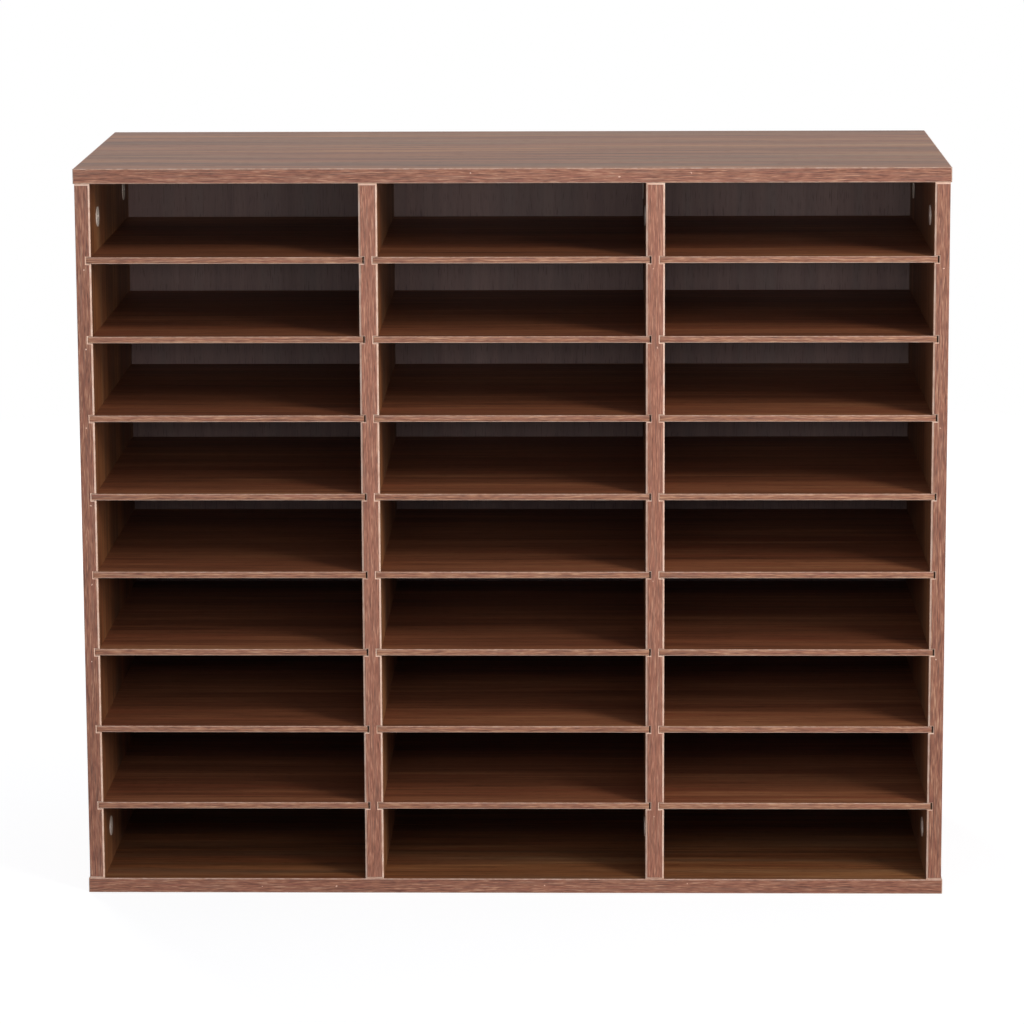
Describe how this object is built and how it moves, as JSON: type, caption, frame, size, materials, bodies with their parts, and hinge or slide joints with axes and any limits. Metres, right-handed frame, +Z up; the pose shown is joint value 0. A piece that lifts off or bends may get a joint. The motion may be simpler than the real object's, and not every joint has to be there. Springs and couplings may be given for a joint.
{
  "type": "pigeonhole mail sorter",
  "caption": "Desktop pigeonhole sorter: a wood-grain box of three columns of flat letter slots, with thin shelves that slide out of grooves in its sides and dividers.",
  "frame": {"origin": "middle of the footprint, on the surface that the sorter stands on", "axes": "+X to the right seen from the front, +Y to the back, +Z up"},
  "size_m": [0.75, 0.305, 0.64],
  "materials": {
    "foil_board": "wood-grain foil on board, satin",
    "shelf_board": "wood-grain foil on thin board, satin",
    "back_board": "foil on the front, bare hardboard behind",
    "edge_band": "printed wood-grain edge band, satin",
    "zinc": "die-cast, zinc plated",
    "steel": "zinc plated",
    "beech": "bare beech"
  },
  "bodies": {
    "cabinet": {"top_panel": "foil_board", "bottom_panel": "foil_board", "top_front_band": "edge_band", "bottom_front_band": "edge_band", "top_end_bands": "edge_band", "bottom_end_bands": "edge_band", "top_cam_bolts": "steel", "bottom_cam_bolts": "steel", "top_dowels": "beech", "bottom_dowels": "beech", "back_panel": "back_board", "left_side": "foil_board", "left_side_front_band": "edge_band", "left_side_cam_locks": "zinc", "left_divider": "foil_board", "left_divider_front_band": "edge_band", "left_divider_cam_locks": "zinc", "right_divider": "foil_board", "right_divider_front_band": "edge_band", "right_divider_cam_locks": "zinc", "right_side": "foil_board", "right_side_front_band": "edge_band", "right_side_cam_locks": "zinc"},
    "left_shelf_1": {"left_shelf_1": "shelf_board"},
    "left_shelf_2": {"left_shelf_2": "shelf_board"},
    "left_shelf_3": {"left_shelf_3": "shelf_board"},
    "left_shelf_4": {"left_shelf_4": "shelf_board"},
    "left_shelf_5": {"left_shelf_5": "shelf_board"},
    "left_shelf_6": {"left_shelf_6": "shelf_board"},
    "left_shelf_7": {"left_shelf_7": "shelf_board"},
    "left_shelf_8": {"left_shelf_8": "shelf_board"},
    "middle_shelf_1": {"middle_shelf_1": "shelf_board"},
    "middle_shelf_2": {"middle_shelf_2": "shelf_board"},
    "middle_shelf_3": {"middle_shelf_3": "shelf_board"},
    "middle_shelf_4": {"middle_shelf_4": "shelf_board"},
    "middle_shelf_5": {"middle_shelf_5": "shelf_board"},
    "middle_shelf_6": {"middle_shelf_6": "shelf_board"},
    "middle_shelf_7": {"middle_shelf_7": "shelf_board"},
    "middle_shelf_8": {"middle_shelf_8": "shelf_board"},
    "right_shelf_1": {"right_shelf_1": "shelf_board"},
    "right_shelf_2": {"right_shelf_2": "shelf_board"},
    "right_shelf_3": {"right_shelf_3": "shelf_board"},
    "right_shelf_4": {"right_shelf_4": "shelf_board"},
    "right_shelf_5": {"right_shelf_5": "shelf_board"},
    "right_shelf_6": {"right_shelf_6": "shelf_board"},
    "right_shelf_7": {"right_shelf_7": "shelf_board"},
    "right_shelf_8": {"right_shelf_8": "shelf_board"}
  },
  "joints": [
    {"name": "left_shelf_1_slide", "type": "slide", "parent": "cabinet", "child": "left_shelf_1", "axis": [0, -1, 0], "range_m": [0, 0.29]},
    {"name": "left_shelf_2_slide", "type": "slide", "parent": "cabinet", "child": "left_shelf_2", "axis": [0, -1, 0], "range_m": [0, 0.29]},
    {"name": "left_shelf_3_slide", "type": "slide", "parent": "cabinet", "child": "left_shelf_3", "axis": [0, -1, 0], "range_m": [0, 0.29]},
    {"name": "left_shelf_4_slide", "type": "slide", "parent": "cabinet", "child": "left_shelf_4", "axis": [0, -1, 0], "range_m": [0, 0.29]},
    {"name": "left_shelf_5_slide", "type": "slide", "parent": "cabinet", "child": "left_shelf_5", "axis": [0, -1, 0], "range_m": [0, 0.29]},
    {"name": "left_shelf_6_slide", "type": "slide", "parent": "cabinet", "child": "left_shelf_6", "axis": [0, -1, 0], "range_m": [0, 0.29]},
    {"name": "left_shelf_7_slide", "type": "slide", "parent": "cabinet", "child": "left_shelf_7", "axis": [0, -1, 0], "range_m": [0, 0.29]},
    {"name": "left_shelf_8_slide", "type": "slide", "parent": "cabinet", "child": "left_shelf_8", "axis": [0, -1, 0], "range_m": [0, 0.29]},
    {"name": "middle_shelf_1_slide", "type": "slide", "parent": "cabinet", "child": "middle_shelf_1", "axis": [0, -1, 0], "range_m": [0, 0.29]},
    {"name": "middle_shelf_2_slide", "type": "slide", "parent": "cabinet", "child": "middle_shelf_2", "axis": [0, -1, 0], "range_m": [0, 0.29]},
    {"name": "middle_shelf_3_slide", "type": "slide", "parent": "cabinet", "child": "middle_shelf_3", "axis": [0, -1, 0], "range_m": [0, 0.29]},
    {"name": "middle_shelf_4_slide", "type": "slide", "parent": "cabinet", "child": "middle_shelf_4", "axis": [0, -1, 0], "range_m": [0, 0.29]},
    {"name": "middle_shelf_5_slide", "type": "slide", "parent": "cabinet", "child": "middle_shelf_5", "axis": [0, -1, 0], "range_m": [0, 0.29]},
    {"name": "middle_shelf_6_slide", "type": "slide", "parent": "cabinet", "child": "middle_shelf_6", "axis": [0, -1, 0], "range_m": [0, 0.29]},
    {"name": "middle_shelf_7_slide", "type": "slide", "parent": "cabinet", "child": "middle_shelf_7", "axis": [0, -1, 0], "range_m": [0, 0.29]},
    {"name": "middle_shelf_8_slide", "type": "slide", "parent": "cabinet", "child": "middle_shelf_8", "axis": [0, -1, 0], "range_m": [0, 0.29]},
    {"name": "right_shelf_1_slide", "type": "slide", "parent": "cabinet", "child": "right_shelf_1", "axis": [0, -1, 0], "range_m": [0, 0.29]},
    {"name": "right_shelf_2_slide", "type": "slide", "parent": "cabinet", "child": "right_shelf_2", "axis": [0, -1, 0], "range_m": [0, 0.29]},
    {"name": "right_shelf_3_slide", "type": "slide", "parent": "cabinet", "child": "right_shelf_3", "axis": [0, -1, 0], "range_m": [0, 0.29]},
    {"name": "right_shelf_4_slide", "type": "slide", "parent": "cabinet", "child": "right_shelf_4", "axis": [0, -1, 0], "range_m": [0, 0.29]},
    {"name": "right_shelf_5_slide", "type": "slide", "parent": "cabinet", "child": "right_shelf_5", "axis": [0, -1, 0], "range_m": [0, 0.29]},
    {"name": "right_shelf_6_slide", "type": "slide", "parent": "cabinet", "child": "right_shelf_6", "axis": [0, -1, 0], "range_m": [0, 0.29]},
    {"name": "right_shelf_7_slide", "type": "slide", "parent": "cabinet", "child": "right_shelf_7", "axis": [0, -1, 0], "range_m": [0, 0.29]},
    {"name": "right_shelf_8_slide", "type": "slide", "parent": "cabinet", "child": "right_shelf_8", "axis": [0, -1, 0], "range_m": [0, 0.29]}
  ]
}
